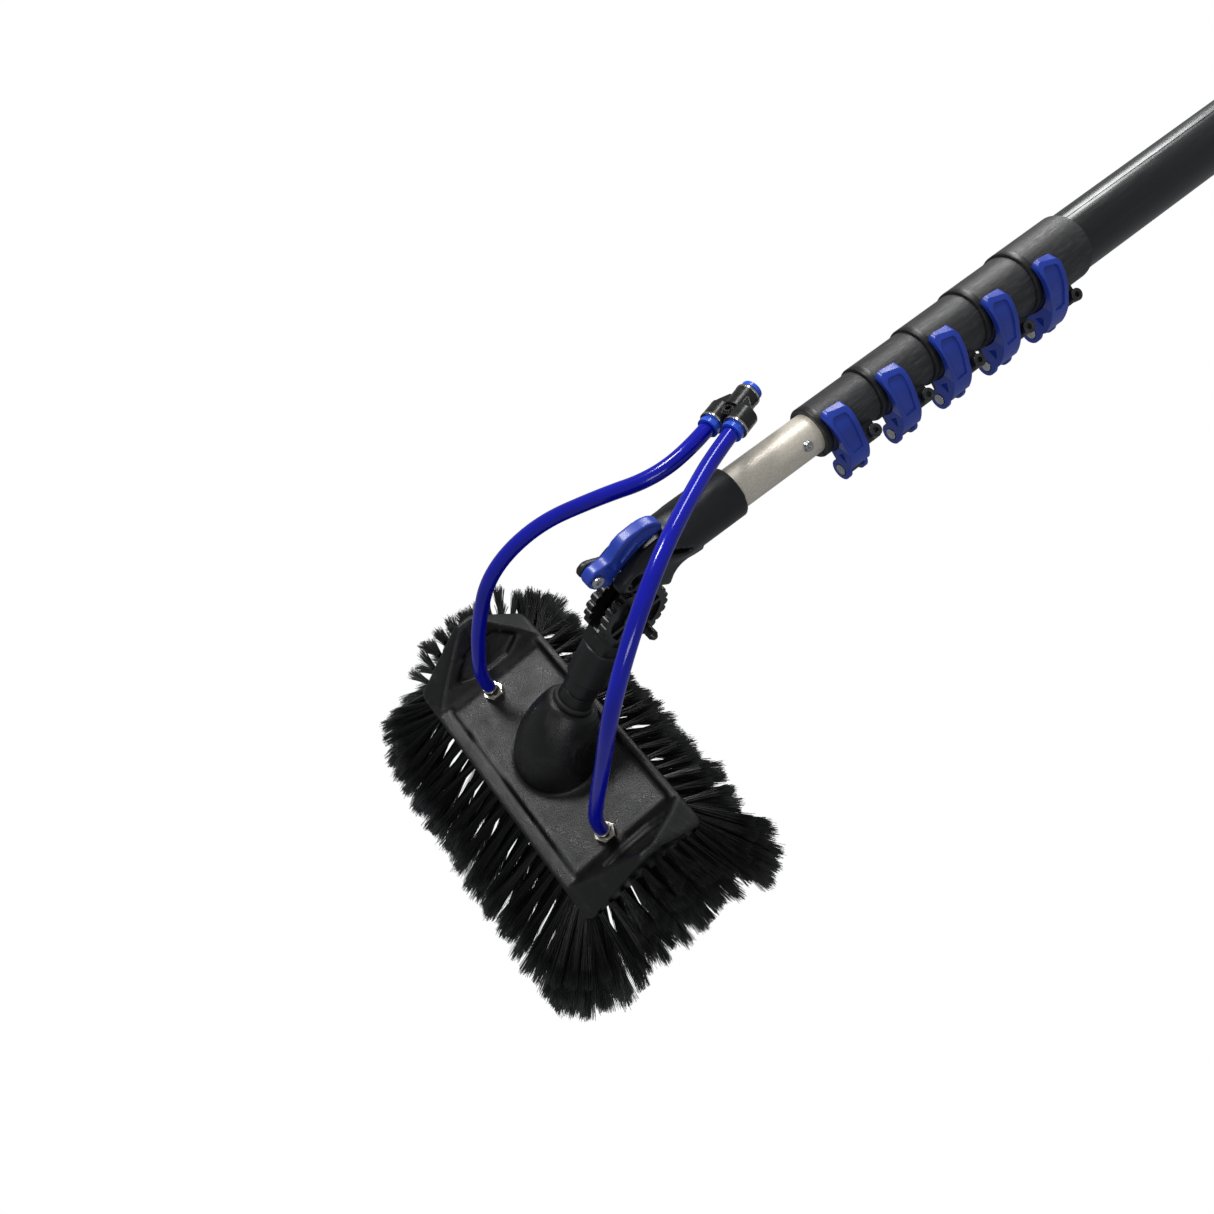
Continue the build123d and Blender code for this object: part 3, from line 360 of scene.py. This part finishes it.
tufts = []
for ix in range(7):
    for iy in range(13):
        x = 1 + (ix - 3) * 9.0 + jit(0.3)
        y = (iy - 6) * 9.2 + jit(0.3)
        if math.hypot(x + 3, abs(y) - 55) < 6:
            continue
        tufts.append(((x, y, -13), (-8 + (x - 1) * 2.05 + jit(1), y * 1.45 + jit(1), -75.5), (0, 0, 0)))
tuft_field("tufts_bottom", "bristles_bottom", tufts, 70, rad=0.24)

for side, sx, x0, tips in (("a", -1, X_A, ((-81, -24), (-87.5, -40), (-89.5, -57), (-84, -73))),
                           ("b", 1, X_B, ((63.5, -20), (67, -38), (70, -56), (68, -73)))):
    tufts = []
    for row, (tx, tz) in enumerate(tips):
        for i in range(18):
            y = -68 + i * 8.0 + (row % 2) * 4.0 + jit(0.5)
            rz = (-3.0, -6.5, -10.0, -13.0)[row]
            rx = x0 - sx * (0.5, 0.8, 1.5, 5.0)[row]
            fan = 1.10
            tufts.append(((rx, y, rz), (tx + jit(1.8), y * fan + jit(1.6), tz + jit(1.8)), (0, 0, -3.0)))
    tuft_field(f"tufts_side_{side}", f"bristles_side_{side}", tufts, 90, rad=0.21, spread=1.25)

for side, sy in (("left", 1), ("right", -1)):
    tufts = []
    rows = [((67, -13.5), (92, -74)), ((74, -10.5), (102, -71)), ((80, -7.5), (111, -62)), ((84.5, -1), (117, -44)), ((86.8, 5), (118.5, -24)),
            ((88.0, 11), (117, -6)), ((89, 17), (112, 7)), ((89.8, 23), (104, 17))]
    for r, ((ry, rz), (ty, tz)) in enumerate(rows):
        lo = X_A + 3 + max(0.0, (rz - 1) / 32.0 * 42)
        hi = X_B - 3 - max(0.0, (rz - 1) / 32.0 * 28)
        n = max(2, int((hi - lo) / 7.4) + 1)
        for i in range(n):
            x = lo + (hi - lo) * i / (n - 1) + jit(0.5)
            gx = 1 + (x - 1) * ((1.55 if x > 1 else 1.95) if rz < 2 else 1.24)
            tufts.append(((x, sy * ry, rz), (gx + jit(1.8), sy * (ty + jit(1.6)), tz + jit(1.8)), (0, 0, -2.5)))
    # corner tufts between the end field and the side fields
    for cx, cdx, ex in ((X_A, -1, ((38, 20, -24), (46, 22, -40), (50, 24, -56), (51, 25, -66), (45, 26, -74))),
                        (X_B, 1, ((20, 26, -16), (24, 29, -34), (28, 31, -50), (28, 32, -64), (24, 31, -74)))):
        for r, (tx, ty, tz) in enumerate(ex):
            tufts.append(((cx - cdx * 1.5, sy * (71 + 2.5 * r), -4 - 1.8 * r), (cx + cdx * (tx + jit(1)), sy * (72 + ty + jit(1)), tz), (0, 0, -3)))
            tufts.append(((cx - cdx * 1.5, sy * (68 + 2.5 * r), -5 - 1.8 * r), (cx + cdx * (tx + jit(1)), sy * (64 + ty + jit(1)), tz - 1), (0, 0, -3)))
            tufts.append(((cx - cdx * 2.5, sy * (76 + 1.2 * r), -3 - 1.8 * r), (cx + cdx * (tx * 0.86 + jit(1)), sy * (79 + ty + jit(1)), tz), (0, 0, -3)))
            tufts.append(((cx - cdx * 3.5, sy * (79 + 1.2 * r), -3 - 1.8 * r), (cx + cdx * (tx * 0.62 + jit(1)), sy * (84 + ty + jit(1)), tz), (0, 0, -3)))
            tufts.append(((cx - cdx * 4.5, sy * (81 + 1.0 * r), -2 - 1.8 * r), (cx + cdx * (tx * 0.36 + jit(1)), sy * (88 + ty + jit(1)), tz - 2), (0, 0, -3)))
    tuft_field(f"tufts_end_{side}", f"bristles_end_{side}", tufts, 96, rad=0.21, spread=1.25)


# ------------------------------------------------------------------ hoses
def hose(name, node, pts):
    pts = [Vector(p) / 1000 for p in pts]
    cu = bpy.data.curves.new(name + "_line", "CURVE")
    cu.dimensions = "3D"
    sp = cu.splines.new("NURBS")
    sp.points.add(len(pts) - 1)
    for p, q in zip(sp.points, pts):
        p.co = (*q, 1)
    sp.order_u = 3
    sp.use_endpoint_u = True
    sp.resolution_u = 16
    cu.resolution_u = 16
    tmp = bpy.data.objects.new(name + "_tmp", cu)
    bpy.context.scene.collection.objects.link(tmp)
    bpy.context.view_layer.update()
    line = bpy.data.meshes.new_from_object(tmp)
    path = [tuple(v.co) for v in line.vertices]
    bpy.data.objects.remove(tmp)
    # tube swept along the line with a rotation-minimising frame
    P = [Vector(p) for p in path]
    T = [(P[min(i + 1, len(P) - 1)] - P[max(i - 1, 0)]).normalized() for i in range(len(P))]
    u = T[0].orthogonal().normalized()
    verts, faces = [], []
    sides = 28
    for i, (p, t) in enumerate(zip(P, T)):
        u = (u - t * u.dot(t)).normalized()
        v = t.cross(u)
        for k in range(sides):
            a = 2 * math.pi * k / sides
            verts.append(p + (u * math.cos(a) + v * math.sin(a)) * 0.004)
    for i in range(len(P) - 1):
        for k in range(sides):
            l = (k + 1) % sides
            faces.append((i * sides + k, i * sides + l, (i + 1) * sides + l, (i + 1) * sides + k))
    faces.append(tuple(range(sides))[::-1])
    faces.append(tuple((len(P) - 1) * sides + k for k in range(sides)))
    o = mesh_object(name, verts, faces, MAT["hose"], True, None)
    for p in o.data.polygons[-2:]:
        p.use_smooth = False
    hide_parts(node)
    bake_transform(o)
    return o


LEFT = [(-876.805, 55.0, 87.0), (-876.805, 55.0, 100.0), (-871.305, 55.0, 118.0), (-859.305, 57.0, 143.0), (-838.805, 58.0, 173.0),
        (-806.805, 52.0, 189.5), (-775.805, 34.0, 200.0), (-752.805, 17.6, 208.0), (-728.268, 15.743, 211.281), (-707.924, 22.201, 208.697)]
RIGHT = [(-876.805, -55.0, 87.0), (-876.805, -55.0, 101.0), (-869.805, -55.0, 122.0), (-856.805, -55.5, 153.0), (-840.805, -54.0, 190.0),
         (-814.805, -45.0, 218.0), (-781.805, -29.5, 231.0), (-751.805, -12.0, 223.5), (-725.31, 2.896, 214.944), (-703.547, 9.805, 212.18)]
hose("supply_hose_left", "hose_left", LEFT)
hose("supply_hose_right", "hose_right", RIGHT)

# ------------------------------------------------------------------ clamp bands, smoother than the scuffed sleeves
for k in range(5):
    rc = TUBE_D[k + 1] / 2 + WALL
    a0 = CLAMP_A[k]
    lathe(f"clamp_band_{k + 1}",
          [(rc - 0.32, 0.15), (rc - 0.2, -0.05), (rc - 0.1, 0.1), (rc + 0.03, 0.4), (rc + 0.03, 3.6), (rc - 0.05, 3.9), (rc - 0.2, 3.9), (rc - 0.15, 3.9), (rc - 0.32, 3.0)],
          pole(a0), D, YV, MAT["band"], OWNER[k], a0=-152 + 1.5 + 2.0 * k, a1=208 - 7 + 2.0 * k)

# ------------------------------------------------------------------ camera
cam_data = bpy.data.cameras.new("view")
cam_data.lens = 28.226778540088883
cam_data.sensor_width = 36.0
cam_data.clip_start = 0.01
cam = bpy.data.objects.new("view", cam_data)
bpy.context.scene.collection.objects.link(cam)
cx, cy, cz = Vector((0.76937834, -0.59804553, -0.22449612)), Vector((0.62775065, 0.64278563, 0.4390396)), Vector((-0.11826278, -0.47871515, 0.86996881))
eye = W(13.24699284, -222.48887324, 499.59163721)
cam.matrix_world = Matrix(((cx.x, cy.x, cz.x, eye.x), (cx.y, cy.y, cz.y, eye.y), (cx.z, cy.z, cz.z, eye.z), (0, 0, 0, 1)))
bpy.context.scene.camera = cam

# ------------------------------------------------------------------ light
def area(name, loc, aim, size, power, colour=(1, 1, 1)):
    ld = bpy.data.lights.new(name, "AREA")
    ld.shape = "RECTANGLE"
    ld.size, ld.size_y = size
    ld.energy = power
    ld.color = colour
    o = bpy.data.objects.new(name, ld)
    bpy.context.scene.collection.objects.link(o)
    o.location = loc
    o.rotation_euler = (Vector(aim) - Vector(loc)).to_track_quat("-Z", "Y").to_euler()
    return o


mid = W(60, 0, 40)
area("key", mid + Vector((0.10, 0.60, 1.1)), mid, (0.32, 0.22), 8.5)
area("fill", mid + Vector((-0.5, -0.9, 0.7)), mid, (0.5, 0.3), 2.6)
area("rim", mid + Vector((0.9, 0.5, 0.55)), W(250, 0, 90), (0.2, 0.9), 6.5)
w = bpy.data.worlds.new("white")
bpy.context.scene.world = w
w.use_nodes = True
wn = w.node_tree
wn.nodes.clear()
lp = wn.nodes.new("ShaderNodeLightPath")
cam_bg = wn.nodes.new("ShaderNodeBackground")
cam_bg.inputs["Color"].default_value = (1, 1, 1, 1)
cam_bg.inputs["Strength"].default_value = 1.0
amb = wn.nodes.new("ShaderNodeBackground")
amb.inputs["Color"].default_value = (0.93, 0.96, 1.0, 1)
amb.inputs["Strength"].default_value = 0.27
mix = wn.nodes.new("ShaderNodeMixShader")
out = wn.nodes.new("ShaderNodeOutputWorld")
wn.links.new(lp.outputs["Is Camera Ray"], mix.inputs["Fac"])
wn.links.new(amb.outputs[0], mix.inputs[1])
wn.links.new(cam_bg.outputs[0], mix.inputs[2])
wn.links.new(mix.outputs[0], out.inputs["Surface"])
bpy.context.scene.view_settings.view_transform = "Standard"
bpy.context.scene.view_settings.look = "None"
